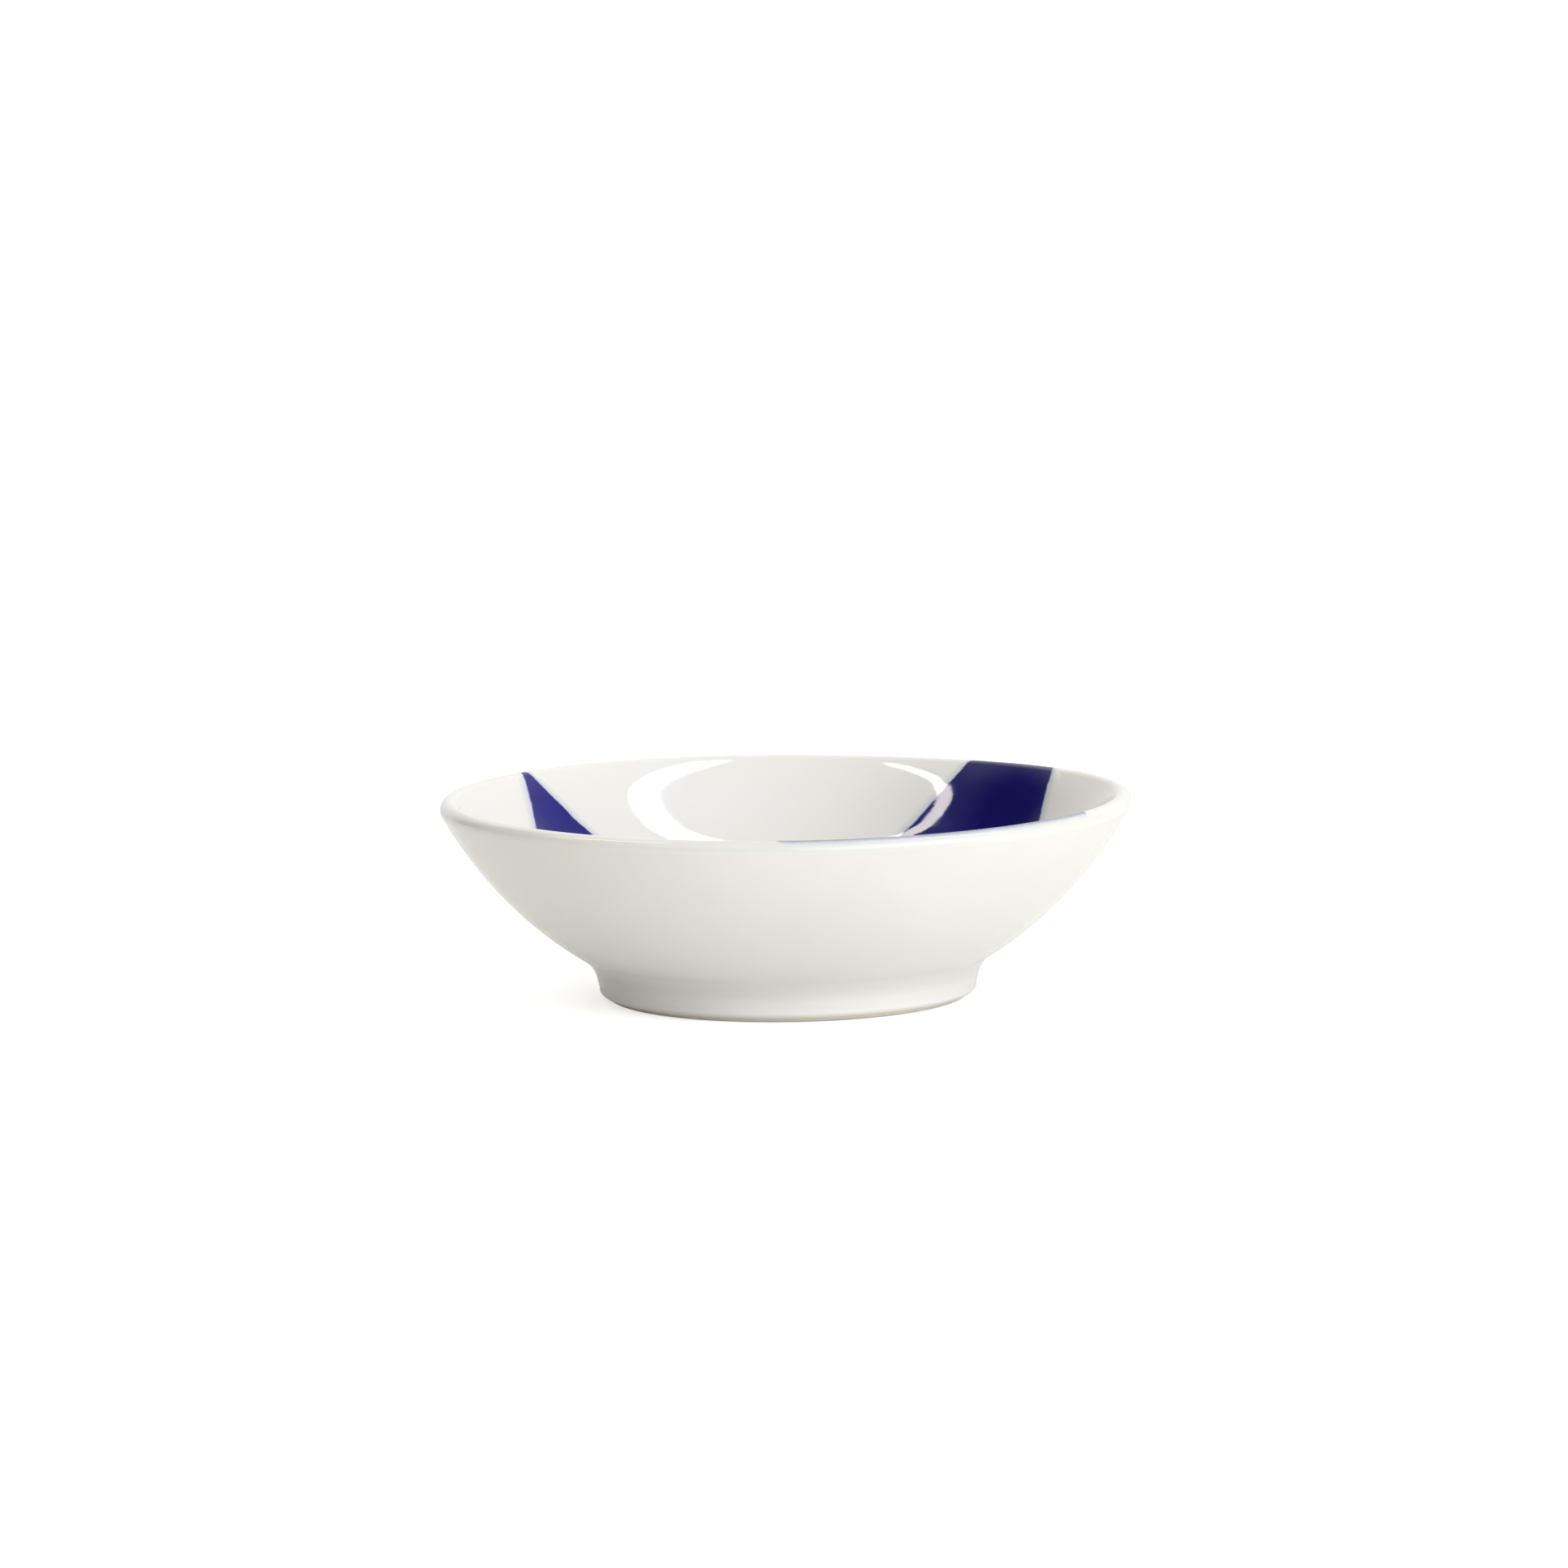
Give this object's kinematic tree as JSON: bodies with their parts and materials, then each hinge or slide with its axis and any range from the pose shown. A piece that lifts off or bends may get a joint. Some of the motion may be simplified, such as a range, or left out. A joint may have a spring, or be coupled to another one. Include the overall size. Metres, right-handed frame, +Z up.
{
  "type": "soy sauce dish",
  "caption": "Small round porcelain soy sauce dish: full-round lip, swept wall, low foot ring, clear glaze, and a cobalt blue field with white reserves inside.",
  "frame": {"origin": "on the table plane, at the middle of the foot ring", "axes": "+Z up along the axis of the dish; +Y away from the viewer of the picture and +X to that viewer's right"},
  "size_m": [0.09, 0.09, 0.0264],
  "materials": {
    "biscuit": "matte unglazed porcelain",
    "glaze": "gloss clear glaze over white porcelain",
    "cobalt": "gloss glaze stained with cobalt blue"
  },
  "bodies": {
    "root": {"bowl_body": "biscuit", "foot_ring": "biscuit", "glaze_coat": "glaze", "foot_well_glaze": "glaze", "cobalt_field": "cobalt"}
  },
  "joints": []
}
